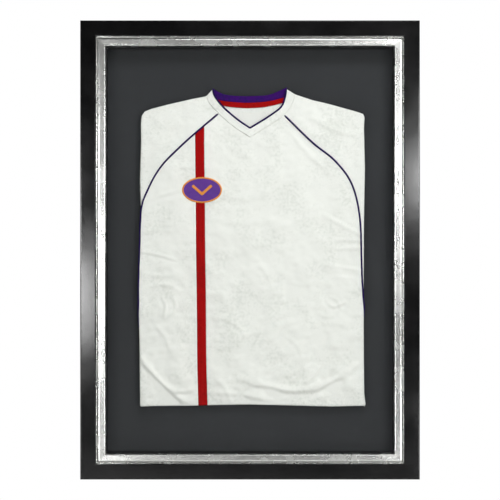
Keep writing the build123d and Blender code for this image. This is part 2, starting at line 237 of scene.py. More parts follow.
# ---- Silver slip -----------------------------------------
# The inner moulding: a timber slip in silver foil with a fine sandy grain, a rounded outer
# shoulder, a broad face and a polished bead at the sight edge.


def silver_foil(name, along):
    """Hot-stamped aluminium foil: a speckled bright metal. The grit under the foil is 1.1 mm across,
    drawn out a little along the length, and its polish drifts over some 40 mm."""
    made, tree, place = material(name, "Object")
    drawn = add_node(tree, "Mapping", {
        "Scale": tuple(0.45 if k == along else 1.0 for k in range(3))}, {0: place})
    grit = add_node(tree, "TexNoise", {"Scale": 1 / (1.1 * MM), "Detail": 3}, {0: drawn})
    cloud = add_node(tree, "TexNoise", {"Scale": 1 / (40 * MM), "Detail": 3}, {0: place})
    tone = add_node(tree, "ValToRGB", {
        "stops": [(0.30, "B6B7B4"), (0.55, "CECFCC"), (0.80, "E4E5E2")]}, {0: grit})
    polish = add_node(tree, "ValToRGB", {"stops": [(0.3, 0.25), (0.7, 0.29)]}, {0: cloud})
    relief = add_node(tree, "Bump", {"Strength": 0.02, "Distance": 0.2 * MM}, {"Height": grit})
    foil = add_node(tree, "BsdfPrincipled", {"Metallic": 1}, {
        "Base Color": tone, "Roughness": polish, "Normal": relief})
    add_node(tree, "OutputMaterial", {}, {0: foil})
    return made


dress_members("slip", silver_foil("sandy silver foil, rails", 0),
              silver_foil("sandy silver foil, stiles", 2))

# ---- Glazing ---------------------------------------------
# One sheet of clear extruded styrene, 2 mm thick, held behind the slip. It shows only as a
# faint sheen: its faces mirror four hundredths of the light that meets them squarely, and more
# and more of it towards a grazing view, the same from either side.

clear, tree, _ = material("clear extruded styrene")
open_side = add_node(tree, "BsdfTransparent", {"Color": linear("FDFEFE")})
sheen = add_node(tree, "BsdfGlossy", {"Roughness": 0.03})
SQUARE_ON = 0.04            # what styrene mirrors at a right angle
slant = add_node(tree, "LayerWeight", {"Blend": 0.5}).outputs["Facing"]
fifth_power = add_node(tree, "Math", {"operation": "POWER", 1: 5}, {0: slant})
share = add_node(tree, "MapRange", {3: SQUARE_ON, 4: 1}, {0: fifth_power})
pane = add_node(tree, "MixShader", {}, {0: share, 1: open_side, 2: sheen})
add_node(tree, "OutputMaterial", {}, {0: pane})
dress("glazing_sheet", clear)

# ---- Spacers and mount board -----------------------------
# Black foam strips stand the glazing off the mount board. The board is charcoal paper on a
# thick core: matt, with a faint tooth and stray paler fibres.


def matt_surface(name, stops, tooth, strength, roughness, drift=170, detail=3, share=0.35, shine=0.3,
                 tooth_detail=8):
    """Paper, foam, fibre or rubber: close tones, a tooth of so many mm, a drift over so many mm that
    takes its share of the tone, and hardly any shine."""
    made, tree, place = material(name, "Object")
    fine = add_node(tree, "TexNoise", {"Scale": 1 / (tooth * MM), "Detail": tooth_detail}, {0: place})
    broad = add_node(tree, "TexNoise", {"Scale": 1 / (drift * MM), "Detail": detail}, {0: place})
    both = add_node(tree, "Mix", {"data_type": "FLOAT", 0: share}, {2: fine, 3: broad})
    tone = add_node(tree, "ValToRGB", {"stops": stops}, {0: both})
    relief = add_node(tree, "Bump", {"Strength": strength, "Distance": 0.2 * MM}, {"Height": fine})
    matt = add_node(tree, "BsdfPrincipled", {"Roughness": roughness, "Specular IOR Level": shine}, {
        "Base Color": tone, "Normal": relief})
    add_node(tree, "OutputMaterial", {}, {0: matt})
    return made


spacer_foam = matt_surface("black spacer foam", [(0.35, "08080A"), (0.65, "101013")], 1.4, 0.3, 0.85)
dress_members("spacer", spacer_foam, spacer_foam)
dress("mount_board", matt_surface(
    "charcoal mount board", [(0.35, "27282B"), (0.65, "303133")], 0.7, 0.35, 0.9))

# ---- Former, pads and pins -------------------------------
# The shirt is stretched over a flat former cut from 5 mm white foam board. Square adhesive foam
# pads hold it off the mount board, and steel dress pins fix the cloth behind it.

foam = matt_surface("white foam board", [(0.35, "E4E4E0"), (0.65, "F2F2EF")], 2, 0.25, 0.8)
dress("shirt_former", foam)
dress("mounting_pads", foam)


def plated_steel(name, low, high, roughness):
    """Plated steel: a bright grey metal with a drawn haze 4 mm wide and dull patches of 17 mm."""
    made, tree, place = material(name, "Object")
    haze = add_node(tree, "TexNoise", {"Scale": 1 / (4 * MM), "Detail": 5}, {0: place})
    patch = add_node(tree, "TexNoise", {"Scale": 1 / (17 * MM), "Detail": 3}, {0: place})
    tone = add_node(tree, "ValToRGB", {"stops": [(0.35, low), (0.65, high)]}, {0: patch})
    polish = add_node(tree, "ValToRGB", {
        "stops": [(0.3, roughness - 0.06), (0.7, roughness + 0.08)]}, {0: haze})
    relief = add_node(tree, "Bump", {"Strength": 0.15, "Distance": 0.1 * MM}, {"Height": haze})
    plate = add_node(tree, "BsdfPrincipled", {"Metallic": 1}, {
        "Base Color": tone, "Roughness": polish, "Normal": relief})
    add_node(tree, "OutputMaterial", {}, {0: plate})
    return made


zinc = plated_steel("zinc-plated steel", "A9ABAC", "CDCFD0", 0.28)
dress("dress_pins", zinc)

# ---- Shirt body ------------------------------------------
# White polyester knit, cut as a front panel, a side panel, a red stripe let in between them, and
# two raglan shoulders. It is pulled over the former, rolls over its edges and shows soft creases.

EDGE_R = 2.6                # radius of the cloth's roll over the former's edge
RETURN = 5.2                # cloth past an edge that goes round it to the former's back
CLOTH = 0.8 * MM
SHIRT_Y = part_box("shirt_front_panel")[0].y
OUTLINE = np.array([        # clockwise from the left end of the neck, in mm about the frame's centre
    (-65.5, 282), (64, 282), (80, 272.5), (110, 262.5), (141, 255.3), (172, 246.6),
    (190, 241.3), (198.4, 238.4), (200.9, 232.5), (199.9, 212), (201.6, 143), (199.6, 40),
    (199.4, -90), (199.6, -180), (200.2, -250), (203, -273), (150, -274.5),
    (0, -271), (-110, -273), (-192.8, -274), (-194, -160), (-195.6, -90), (-192.5, 45), (-190.8, 70),
    (-193.2, 118), (-191.2, 190), (-191.4, 222), (-190, 235), (-184.7, 243),
    (-172, 247.8), (-143, 255.2), (-100, 265), (-77, 269.5), (-65.5, 282)])


def moved_out(closed, gap):
    """A closed clockwise outline moved outwards: each corner goes along the sum of its two sides'
    outward normals, over one plus their cosine."""
    run = np.diff(closed, axis=0)
    after = np.stack([-run[:, 1], run[:, 0]], 1) / np.hypot(*run.T)[:, None]
    before = np.roll(after, 1, 0)
    moved = closed[:-1] + gap * (before + after) / (1 + (before * after).sum(1))[:, None]
    return np.vstack([moved, moved[:1]])


def distance_along(line):
    """Each point's distance from the start of a polyline, along it."""
    return np.concatenate([[0], np.cumsum(np.linalg.norm(np.diff(line, axis=0), axis=1))])


def at_shares(line, shares):
    """A polyline's points at the given shares of its length."""
    run = distance_along(line)
    return np.stack([np.interp(shares * run[-1], run, line[:, k]) for k in range(line.shape[1])], 1)


def even(line, count):
    """A polyline's points spaced evenly along its length."""
    return at_shares(line, np.linspace(0, 1, count))


def shares(count, fine_start=0, fine_end=0, fine_count=10):
    """Rising shares from 0 to 1, packed closer over the first and last stretch, where cloth rolls."""
    parts = [np.linspace(fine_start, 1 - fine_end, count)]
    if fine_start:
        parts.insert(0, np.linspace(0, fine_start, fine_count)[:-1])
    if fine_end:
        parts.append(np.linspace(1 - fine_end, 1, fine_count)[1:])
    return np.concatenate(parts)


def curve(points, count=400):
    """A smooth line through points: on each span the cubic whose slope at a point is half the step
    between that point's neighbours."""
    p = np.array(points, float)
    p = np.vstack([2 * p[0] - p[1], p, 2 * p[-1] - p[-2]])
    t = np.linspace(0, len(p) - 3, 60 * (len(p) - 3) + 1)
    k = np.minimum(t.astype(int), len(p) - 4)
    s = (t - k)[:, None]
    a, b, c, d = p[k], p[k + 1], p[k + 2], p[k + 3]
    fine = b + (c - a) * s / 2 + (a - 2.5 * b + 2 * c - d / 2) * s**2
    fine = fine + (1.5 * (b - c) + (d - a) / 2) * s**3
    return even(fine, count)


def part_of(line, start, end):
    """The stretch of a line between its points nearest to start and to end."""
    first, last = (np.argmin(np.hypot(*(line - np.array(p)).T)) for p in (start, end))
    return line[first:last + 1] if first < last else line[last:first + 1][::-1]


def coons(bottom, top, left, right, u, v):
    """Surface between four edges, on a grid at the shares u across and v up: the surface ruled up
    plus the one ruled across, less the four-cornered one that both hold."""
    bottom, top = (at_shares(np.array(line, float), u) for line in (bottom, top))
    left, right = (at_shares(np.array(line, float), v) for line in (left, right))
    u = u[None, :, None]
    v = v[:, None, None]
    up = (1 - v) * bottom[None] + v * top[None]
    across = (1 - u) * left[:, None] + u * right[:, None]
    low = (1 - u) * bottom[0] + u * bottom[-1]
    high = (1 - u) * top[0] + u * top[-1]
    return up + across - (1 - v) * low - v * high


def off_line(flat, line):
    """Each point's signed distance from a line, positive on its left, its share of the way along,
    and its nearest place on the line."""
    a, b = line[:-1], line[1:]
    run = b - a
    length = np.hypot(*run.T)
    rel = flat[..., None, :] - a
    t = np.clip((rel * run).sum(-1) / length**2, 0, 1)
    gap = rel - t[..., None] * run
    near = np.hypot(gap[..., 0], gap[..., 1])
    k = near.argmin(-1)[..., None]
    side = run[..., 0] * rel[..., 1] - run[..., 1] * rel[..., 0]
    start = np.concatenate([[0], np.cumsum(length)[:-1]])
    along = (start + t * length) / length.sum()
    pick = [np.take_along_axis(x, k, -1)[..., 0] for x in (near, side, along)]
    foot = a + t[..., None] * run
    foot = np.take_along_axis(foot, k[..., None], -2)[..., 0, :]
    return np.sign(pick[1]) * pick[0], pick[2], foot


# Creases, each as its line, its height and its half width in mm. A positive height stands
# proud, and the cloth drops away faster on the right of the line's direction.
CREASES = [
    ([(-190, -190), (-172, -212), (-150, -236), (-118, -263)], 2, 6.5),
    ([(-156, -232), (-132, -246), (-112, -247), (-98, -243)], 1, 4.5),
    ([(-20, -224), (20, -235), (52, -242), (80, -246), (114, -241), (158, -222), (188, -200)], 2, 7.5),
    ([(-78, -252), (-40, -250), (0, -256), (40, -262)], 0.8, 6),
    ([(-60, -226), (-44, -240), (-34, -262)], 0.7, 5),
    ([(96, -237), (118, -212), (140, -184)], 0.8, 5),
    ([(70, -232), (84, -222), (96, -205)], 0.5, 4),
    ([(128, -238), (150, -206), (176, -178)], 0.5, 5),
    ([(22, -138), (12, -158), (0, -180)], 0.7, 4),
    ([(18, -26), (28, -40), (36, -54)], 0.4, 5),
    ([(196, 16), (176, 18), (150, 18)], 0.9, 2.6),
    ([(196, 26), (165, 42), (130, 62)], 0.8, 4),
    ([(194, 4), (172, 4), (150, 2)], 0.5, 3.2),
    ([(194, -36), (160, -30), (128, -25)], 0.7, 3.6),
    ([(194, -52), (165, -48), (140, -46)], 0.4, 4.5),
    ([(-190, -3), (-164, -8), (-128, -18)], 0.9, 2.8),
    ([(-190, 30), (-165, 34), (-140, 33)], 0.4, 4),
    ([(-190, 84), (-155, 96), (-120, 106)], 0.5, 4.5),
    ([(-190, -40), (-160, -46), (-135, -44)], 0.35, 5),
    ([(134, -90), (146, -99), (166, -92)], 0.9, 3.2),
    ([(140, -82), (152, -88), (160, -104)], 0.7, 3),
    ([(120, -112), (134, -118), (146, -112)], 0.5, 4),
    ([(-178, -66), (-150, -60), (-122, -72)], 0.6, 4.5),
    ([(-158, -78), (-148, -96), (-150, -118)], 0.5, 3.5),
    ([(-136, -80), (-130, -100), (-142, -116)], 0.6, 3.2),
    ([(-168, -128), (-150, -150), (-140, -176)], 0.5, 5),
    ([(-60, -118), (-30, -126), (-6, -150)], 0.4, 6),
    ([(60, -150), (84, -168), (92, -190)], 0.5, 5),
    ([(-40, 190), (-20, 172), (10, 160)], 0.35, 8),
    ([(70, 208), (96, 176), (140, 132)], 0.45, 7),
    ([(-70, 120), (-40, 96), (0, 90), (40, 100)], 0.45, 9),
    ([(-66, 58), (-20, 46), (30, 52), (70, 40)], 0.4, 9),
    ([(-64, 4), (-28, -6), (20, 8), (60, 0)], 0.4, 10),
    ([(-120, 214), (-140, 190), (-172, 168)], 0.4, 7),
    ([(110, 232), (140, 214), (186, 200)], 0.45, 7),
]

drift = np.random.default_rng(11)
WAVES = 26
wave_length = np.geomspace(95, 11, WAVES)
wave_angle = drift.uniform(0, np.pi, WAVES)
wave_phase = drift.uniform(0, 2 * np.pi, WAVES)
wave_turns = 2 * np.pi / wave_length * np.array([np.cos(wave_angle), np.sin(wave_angle)])
wave_height = 0.0052 * wave_length


LEFT_SIDE = 194             # the shirt's mean sides, in mm from the frame's middle
RIGHT_SIDE = 200.5
CREASE_HEIGHT = 2.3         # the creases' heights and widths are drawn this much larger
CREASE_WIDTH = 0.8


def smooth_step(low, high, value):
    """0 below low, 1 above high, and 3t squared less 2t cubed between."""
    t = np.clip((value - low) / (high - low), 0, 1)
    return t * t * (3 - 2 * t)


def swell(flat):
    """Height of the cloth over the former in mm: low waves crossing each other, stronger towards
    the hem, puckers along the sides, and a ridge with a steep side along each crease."""
    x, z = flat[..., 0], flat[..., 1]
    bent = flat + 9 * np.stack([np.sin(z / 37 + 0.8), np.sin(x / 43 + 2.1)], -1)
    waves = (np.sin(bent @ wave_turns + wave_phase) * wave_height).sum(-1)
    height = 0.35 + waves * (0.75 + 0.6 * smooth_step(40, -200, z))
    to_side = np.minimum(x + LEFT_SIDE, RIGHT_SIDE - x)
    pucker = np.sin(z / 5.1 + 2 * np.sin(z / 23)) * np.sin(z / 31 + 0.4)
    height = height + 0.35 * pucker * np.exp(-np.clip(to_side, 0, None) / 9)
    for points, lift, width in CREASES:
        width = CREASE_WIDTH * width
        gap, along, _ = off_line(flat, curve(points, 14))
        fade = np.sqrt(np.clip(np.sin(np.pi * np.clip(0.04 + 0.92 * along, 0, 1)), 0, 1))
        ridge = np.exp(-(gap / width) ** 2) - 0.45 * np.exp(-((gap + 1.5 * width) / width) ** 2)
        height = height + CREASE_HEIGHT * lift * fade * ridge
    return np.clip(height, -0.6, 4.5)


def unit(vectors):
    """Vectors over their lengths."""
    return vectors / np.linalg.norm(vectors, axis=-1, keepdims=True)


roll_line = moved_out(OUTLINE, -EDGE_R)
rough_rim = even(moved_out(OUTLINE, RETURN), 3000)
_, _, rim_foot = off_line(rough_rim, roll_line)
rim = rim_foot + (EDGE_R + RETURN) * unit(rough_rim - rim_foot)    # where the turned cloth ends
rim = rim[off_line(rim, roll_line)[0] > EDGE_R + RETURN - 0.2]


def lay(flat, proud=0):
    """Flat cloth in mm to its place on the former in metres. Past the line where the roll starts, the
    distance from it is spent round a quarter circle and then straight back, away from the nearest
    place on the line. Creases, and proud, stand forward."""
    gap, _, foot = off_line(flat, roll_line)
    gone = np.clip(gap, 0, None)
    angle = np.minimum(gone / EDGE_R, np.pi / 2)
    away = (flat - foot) / np.maximum(np.abs(gap), 1e-9)[..., None]
    rolled = foot + EDGE_R * np.sin(angle)[..., None] * away
    place = np.where(gap[..., None] > 0, rolled, flat)
    back = EDGE_R * (1 - np.cos(angle)) + np.clip(gone - EDGE_R * np.pi / 2, 0, None)
    forward = swell(flat) * smooth_step(5, 0, back) + proud
    return np.stack([
        place[..., 0] * MM, SHIRT_Y + (back - forward) * MM, CENTRE_Z + place[..., 1] * MM], -1)


def grid_mesh(name, points, flat=None, closed=False, capped=False):
    """A mesh of quads over one or more grids of points, with the flat cloth in metres as its UV map.
    closed joins the last column to the first, welds the poles and turns every face outwards, and
    capped adds a face across the first and the last row."""
    index = np.arange(points.size // 3).reshape(points.shape[:-1])
    caps = np.concatenate([index[:, 0, ::-1], index[:, -1]]).tolist() if capped else []
    if closed:
        index = np.concatenate([index, index[..., :1]], -1)
    quads = np.stack([
        index[..., :-1, :-1], index[..., :-1, 1:], index[..., 1:, 1:], index[..., 1:, :-1]], -1)
    quads = quads.reshape(-1, 4)
    mesh = bpy.data.meshes.new(name)
    mesh.from_pydata(points.reshape(-1, 3).tolist(), [], quads.tolist() + caps)
    if flat is not None:
        layer = mesh.uv_layers.new(name="flat")
        layer.data.foreach_set("uv", (flat.reshape(-1, 2)[quads.ravel()] * MM).ravel())
    if closed:
        work = bmesh.new()
        work.from_mesh(mesh)
        bmesh.ops.remove_doubles(work, verts=work.verts, dist=1e-6)
        bmesh.ops.recalc_face_normals(work, faces=work.faces)
        work.to_mesh(mesh)
        work.free()
    mesh.shade_smooth()
    return mesh


def fit(piece, finish, replaced=()):
    """Finishes a piece, fixes it to the frame body and hides the CAD nodes it stands for."""
    piece.data.materials.append(finish)
    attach(piece, "frame")
    if replaced:
        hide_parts(*replaced)


def grid_area(points):
    """Area of a grid of points: half the cross product of each cell's diagonals."""
    points = np.pad(points, [(0, 0), (0, 0), (0, 3 - points.shape[-1])])
    one = points[1:, 1:] - points[:-1, :-1]
    two = points[1:, :-1] - points[:-1, 1:]
    return float(np.linalg.norm(np.cross(one, two), axis=-1).sum() / 2)


def cut_size(flat):
    """Width and length in metres of the smallest rectangle, over all turns, that holds the cut. A
    thin taper that fills under a third of it has the width of an even taper of its area instead."""
    turn = np.radians(np.arange(0, 90, 2))
    points = flat.reshape(-1, 2)
    wide = np.ptp(points @ np.array([np.cos(turn), np.sin(turn)]), axis=0)
    long = np.ptp(points @ np.array([-np.sin(turn), np.cos(turn)]), axis=0)
    best = (wide * long).argmin()
    width, length = sorted((float(wide[best]) * MM, float(long[best]) * MM))
    area = grid_area(flat * MM)
    if area < width * length / 3:
        width = 2 * area / length
    return width, length


def cloth(node, points, flat, finish, thickness=CLOTH, inwards=-1, size=None):
    """One cut piece of the shirt: its surface gets its thickness, inwards from the face that shows
    or half to each side."""
    piece = link_object(f"{node}_cloth", grid_mesh(node, points, flat))
    wall = piece.modifiers.new("thickness", "SOLIDIFY")
    wall.thickness = thickness
    wall.offset = inwards
    fit(piece, finish, (node,))
    size or cut_size(flat)


def front_cloth(node, flat, finish, proud=0):
    """One cut piece of the shirt's front, laid over the former."""
    cloth(node, lay(flat, proud), flat, finish)


def closed_piece(name, points, finish, replaced=(), flat=None, capped=False):
    """A piece whose grid of points closes on itself, welded and fixed to the frame body."""
    fit(link_object(name, grid_mesh(name, points, flat, True, capped)), finish, replaced)


WAVE = np.pi / 10           # a wave texture of this scale has bands one unit apart


def knit(name, dark, light, roughness, relief_depth, rib=0):
    """Knitted polyester: loops in columns and rows, drawn at 1.8 mm where the real ones are 0.9 mm,
    so that they show. The way the loops lean gives a fine mottle of 5 mm and a broad one of 60 mm."""
    made, tree, place = material(name, "UV")
    columns = add_node(tree, "TexWave", {
        "bands_direction": "X", "Scale": WAVE / (1.8 * MM), "Distortion": 0.6, "Detail": 1}, {0: place})
    rows = add_node(tree, "TexWave", {
        "bands_direction": "Y", "Scale": WAVE / ((2.6 if rib else 1.8) * MM), "Distortion": 0.6,
        "Detail": 1}, {0: place})
    loops = add_node(tree, "Math", {"operation": "MULTIPLY"}, {
        0: columns.outputs["Fac"], 1: rows.outputs["Fac"]})
    mottle = add_node(tree, "TexNoise", {"Scale": 1 / (4.8 * MM), "Detail": 5}, {0: place})
    cloud = add_node(tree, "TexNoise", {"Scale": 1 / (60 * MM), "Detail": 3}, {0: place})
    both = add_node(tree, "Math", {"operation": "ADD"}, {0: mottle, 1: cloud})
    shade = add_node(tree, "Math", {"operation": "MULTIPLY_ADD", 1: 0.12}, {0: loops, 2: both})
    tone = add_node(tree, "ValToRGB", {"stops": [(0.78, dark), (1, light)]}, {0: shade})
    weave = add_node(tree, "Bump", {"Strength": relief_depth, "Distance": 0.5 * MM}, {
        "Height": loops})
    relief = add_node(tree, "Bump", {"Strength": 0.12, "Distance": 0.8 * MM}, {
        "Height": mottle, "Normal": weave})
    yarn = add_node(tree, "BsdfPrincipled", {"Roughness": roughness, "Specular IOR Level": 0.04}, {
        "Base Color": tone, "Normal": relief})
    add_node(tree, "OutputMaterial", {}, {0: yarn})
    return made


white_knit = knit("white polyester knit", "E7E7E0", "F4F3ED", 0.82, 0.35)
red_knit = knit("red polyester knit", "920000", "A40001", 0.7, 0.3)


def up_to_rim(line):
    """A line that starts on the shirt, cut off where it first crosses the rim."""
    return line[:np.argmax(off_line(line, rim)[0] > 0) + 1]


LEFT_JOIN = (-55.5, 239)    # where each raglan seam meets the collar's seam,
RIGHT_JOIN = (60, 236)
LEFT_TOP = (-76, 270)       # where the collar's seam goes over the shoulder,
RIGHT_TOP = (77.5, 273.7)
V_FOOT = (0, 197)           # and the V of the collar's seam and of its edge
V_EDGE = (0, 213.5)
seam_left = up_to_rim(curve([
    LEFT_JOIN, (-119.6, 183.3), (-158.5, 142), (-182, 99), (-189.6, 75),
    (-192, 45), (-193.6, -4), (-195.3, -60), (-196.2, -115), (-205, -160)], 900))
seam_right = up_to_rim(curve([
    RIGHT_JOIN, (108.5, 189), (149.7, 155), (178, 115.5), (191.8, 61),
    (195, -10), (196.8, -60), (200.2, -98), (208, -135)], 900))
collar_seam = np.vstack([
    curve([LEFT_TOP, (-73, 259), LEFT_JOIN, (-28, 215), V_FOOT]),
    curve([V_FOOT, (37.5, 219.5), RIGHT_JOIN, (73, 256), RIGHT_TOP])[1:]])
STRIPE_HALF = 8.0
stripe_line = curve([
    (-88.1, 240), (-88, 180), (-87.2, 90), (-86.4, 0), (-85.2, -90), (-84.3, -200),
    (-82.4, -273), (-82.2, -290)], 700)


def stripe_edge(offset):
    """One edge of the stripe, from the hem's turned edge up to the left raglan seam."""
    edge = stripe_line + np.array([offset, 0])
    meets = np.argmin(np.abs(off_line(edge, seam_left)[0]))
    return up_to_rim(edge[meets:])[::-1]


def between_ends(line, start, end):
    """The stretch of a line from start to end, which themselves are its first and last points."""
    return np.vstack([[start], part_of(line, start, end)[1:-1], [end]])


ROWS = shares(206, fine_start=0.02, fine_count=9)
stripe_left_edge = stripe_edge(-STRIPE_HALF)
stripe_right_edge = stripe_edge(STRIPE_HALF)
shoulder_a = seam_left[np.argmin(np.abs(seam_left[:, 1] - 98))]
low_left = part_of(rim, (-200, -281), (-200, -270))[0]
low_right = part_of(rim, (208, -280), (208, -270))[0]

# The stripe, a straight band of red knit.
stripe_flat = coons(
    [stripe_left_edge[0], stripe_right_edge[0]],
    between_ends(seam_left, stripe_left_edge[-1], stripe_right_edge[-1]),
    stripe_left_edge, stripe_right_edge, shares(8), ROWS)
front_cloth("front_stripe", stripe_flat, red_knit)

# The narrow panel on the left of the stripe.
left_run = np.vstack([
    between_ends(rim, low_left, seam_left[-1]), part_of(seam_left, seam_left[-1], shoulder_a)[1:]])
side_flat = coons(
    between_ends(rim, low_left, stripe_left_edge[0]),
    between_ends(seam_left, shoulder_a, stripe_left_edge[-1]),
    left_run, stripe_left_edge, shares(46, fine_start=0.09), ROWS)
front_cloth("shirt_side_panel", side_flat, white_knit)

# The main panel. Its top runs along the raglan seam and then a little under the collar.
under = part_of(collar_seam, LEFT_JOIN, RIGHT_JOIN) + np.array([0, 2])
top_run = np.vstack([between_ends(seam_left, stripe_right_edge[-1], LEFT_JOIN), under])
right_run = np.vstack([
    between_ends(rim, low_right, seam_right[-1]),
    part_of(seam_right, seam_right[-1], RIGHT_JOIN)[1:], [under[-1]]])
front_flat = coons(
    between_ends(rim, stripe_right_edge[0], low_right), top_run, stripe_right_edge, right_run,
    shares(116, fine_end=0.033), ROWS)
front_cloth("shirt_front_panel", front_flat, white_knit)

# The raglan shoulders, from the collar over the shoulder's top and down the side edge. Each ends
# in a short edge, where its seam goes over the side.
SHORT_EDGE = np.array([0, 9])
left_rim = part_of(rim, (-79, 275), seam_left[-1] + SHORT_EDGE)
shoulder_left = coons(
    seam_left, left_rim,
    np.vstack([part_of(collar_seam, LEFT_JOIN, LEFT_TOP), left_rim[:1]]),
    [seam_left[-1], left_rim[-1]], shares(190), shares(26, fine_end=0.12))
front_cloth("shirt_shoulder_left", shoulder_left[::-1], white_knit)
right_rim = part_of(rim, (82, 277), seam_right[-1] + SHORT_EDGE)
shoulder_right = coons(
    seam_right, right_rim,
    np.vstack([part_of(collar_seam, RIGHT_JOIN, RIGHT_TOP), right_rim[:1]]),
    [seam_right[-1], right_rim[-1]], shares(170), shares(26, fine_end=0.12))
front_cloth("shirt_shoulder_right", shoulder_right, white_knit)

# ---- Pipings ---------------------------------------------
# A cord covered in very dark purple cloth is caught in each raglan seam and round the edge of
# the V neck. It stands half out of the seam.


def on_cloth(flat, proud=0):
    """Places on the laid cloth and the cloth's outward normals there, from small steps each way."""
    step = 0.4
    across = lay(flat + (step, 0)) - lay(flat - (step, 0))
    up = lay(flat + (0, step)) - lay(flat - (0, step))
    normal = unit(np.cross(across, up))
    return lay(flat) + proud * MM * normal, normal


def carried(path, normal, section, taper=None):
    """A section carried along a path: its first measure runs along normal x tangent, its second
    along the normal, both scaled by taper."""
    tangent = unit(np.gradient(path, axis=0))
    normal = unit(normal - (normal * tangent).sum(1, keepdims=True) * tangent)
    side = np.cross(normal, tangent)
    scale = np.ones(len(path)) if taper is None else taper
    grown = scale[:, None, None] * section[None]
    return path[:, None] + grown[..., :1] * side[:, None] + grown[..., 1:] * normal[:, None]


def round_ends(count, reach=3):
    """Scale along a cord: 1, closing to 0 at both ends as the root of the distance left."""
    step = np.arange(count)
    left = np.minimum(step, count - 1 - step) / reach
    return np.sqrt(np.clip(left * (2 - left), 0, 1) * (left < 1) + (left >= 1))


def circle(radius, count):
    """A circle's points."""
    turn = np.linspace(0, 2 * np.pi, count, endpoint=False)
    return radius * np.stack([np.cos(turn), np.sin(turn)], 1)


# Satin-woven polyester: very dark, with the cover's diagonal turns drawn 1.2 mm apart.
dark_satin, tree, place = material("very dark purple piping cloth", "Object")
turns = add_node(tree, "TexWave", {
    "bands_direction": "DIAGONAL", "Scale": WAVE / (1.2 * MM), "Distortion": 1}, {0: place})
tone = add_node(tree, "ValToRGB", {"stops": [(0.2, "14043C"), (0.9, "260C58")]}, {
    0: turns.outputs["Fac"]})
relief = add_node(tree, "Bump", {"Strength": 0.4, "Distance": 0.3 * MM}, {
    "Height": turns.outputs["Fac"]})
satin = add_node(tree, "BsdfPrincipled", {"Roughness": 0.6, "Specular IOR Level": 0.06}, {
    "Base Color": tone, "Normal": relief})
add_node(tree, "OutputMaterial", {}, {0: satin})

neck_edge = np.vstack([
    curve([(-65.5, 282), (-61, 268), (-45.5, 249), (-21, 228), V_EDGE]),
    curve([V_EDGE, (31.5, 233), (54, 250), (61, 266), (64, 282)])[1:]])
PIPING_R = 1.6
RING_STEP = 1.6
for name, line, proud in (
        ("raglan_piping_left", seam_left, 0.4), ("raglan_piping_right", seam_right, 0.4),
        ("collar_piping", neck_edge, 0.5)):
    count = int(distance_along(line)[-1] / RING_STEP)
    path, normal = on_cloth(even(line, count), proud)
    body = carried(path, normal, circle(PIPING_R * MM, 12), round_ends(count))
    closed_piece(f"{name}_cord", body, dark_satin, (name,))

# ---- Collar ----------------------------------------------
# A doubled band of the white knit follows the V neck outside the piping. It is sewn down with a
# twin row of white topstitching along its outer seam.

left_tip = 0.8 * RETURN * np.array([-0.74, 0.67])       # the tips turn back over the former's top
right_tip = 0.8 * RETURN * np.array([0.51, 0.86])
inner = np.vstack([neck_edge[:1] + left_tip, neck_edge, neck_edge[-1:] + right_tip])
outer = np.vstack([collar_seam[:1] + left_tip, collar_seam, collar_seam[-1:] + right_tip])
HALF_BAND = 61
BAND_LIFT = 0.55            # the band lies over the shoulders' and the panel's edges


def two_halves(line, corner):
    """A line with a corner, spaced evenly on each side of it, so that the corner stays sharp."""
    middle = np.argmin(np.hypot(*(line - np.array(corner)).T))
    return np.vstack([even(line[:middle + 1], HALF_BAND), even(line[middle:], HALF_BAND)[1:]])


outer = two_halves(outer, V_FOOT)
inner = two_halves(inner, V_EDGE)
up = shares(9)[:, None, None]
band_flat = (1 - up) * outer + up * inner
front_cloth("shirt_collar_front", band_flat, white_knit, BAND_LIFT)

STITCH = 2.4
STITCH_GAP = 0.9
THREAD_R = 0.22 * MM
THREAD_SHAPE = np.array([0.35, 0.9, 1, 0.9, 0.35])    # a stitch's rings, over THREAD_R


def stitch_row(name, line, proud, finish):
    """A row of stitches along a line on the cloth: each is a thin cord that rises as a half sine."""
    run = distance_along(line)
    number = int(run[-1] / (STITCH + STITCH_GAP))
    rings = len(THREAD_SHAPE)
    start = np.arange(number) * (STITCH + STITCH_GAP)
    at = start[:, None] + np.linspace(0, STITCH, rings)[None]
    flat = np.stack([np.interp(at, run, line[:, k]) for k in (0, 1)], -1)
    path, normal = on_cloth(flat)
    rise = np.sin(np.linspace(0, np.pi, rings))
    path = path + normal * ((proud + 0.12 * rise) * MM)[None, :, None]
    side = np.cross(normal, unit(np.gradient(path, axis=1)))
    ring = circle(1, 6)
    body = path[:, :, None] + THREAD_R * THREAD_SHAPE[None, :, None, None] * (
        ring[None, None, :, :1] * side[:, :, None] + ring[None, None, :, 1:] * normal[:, :, None])
    closed_piece(name, body, finish, capped=True)


# Spun polyester thread: white, its strands 0.4 mm apart.
white_thread, tree, place = material("white polyester thread", "Object")
strand = add_node(tree, "TexNoise", {"Scale": 1 / (0.4 * MM), "Detail": 3}, {0: place})
tone = add_node(tree, "ValToRGB", {"stops": [(0.3, "DADAD6"), (0.7, "EFEEEB")]}, {0: strand})
thread = add_node(tree, "BsdfPrincipled", {"Roughness": 0.6}, {"Base Color": tone})
add_node(tree, "OutputMaterial", {}, {0: thread})
for number, share in enumerate((0.14, 0.36), start=1):
    middle = (1 - share) * outer + share * inner
    stitch_row(f"collar_topstitch_{number}", middle[4:-4], BAND_LIFT, white_thread)

# ---- Chest badge -----------------------------------------
# A plain oval patch of violet twill with an overlocked amber rim and one embroidered chevron,
# sewn on over the stripe.

BADGE = np.array([-84, 105])
BADGE_HALF = np.array([33.6, 21.2])
BADGE_LIFT = 0.55
BADGE_FOOT = 0.05
RIM_LIFT = 0.45
RIM_HALF = (1.35, 0.85)     # the rim's half width and half height


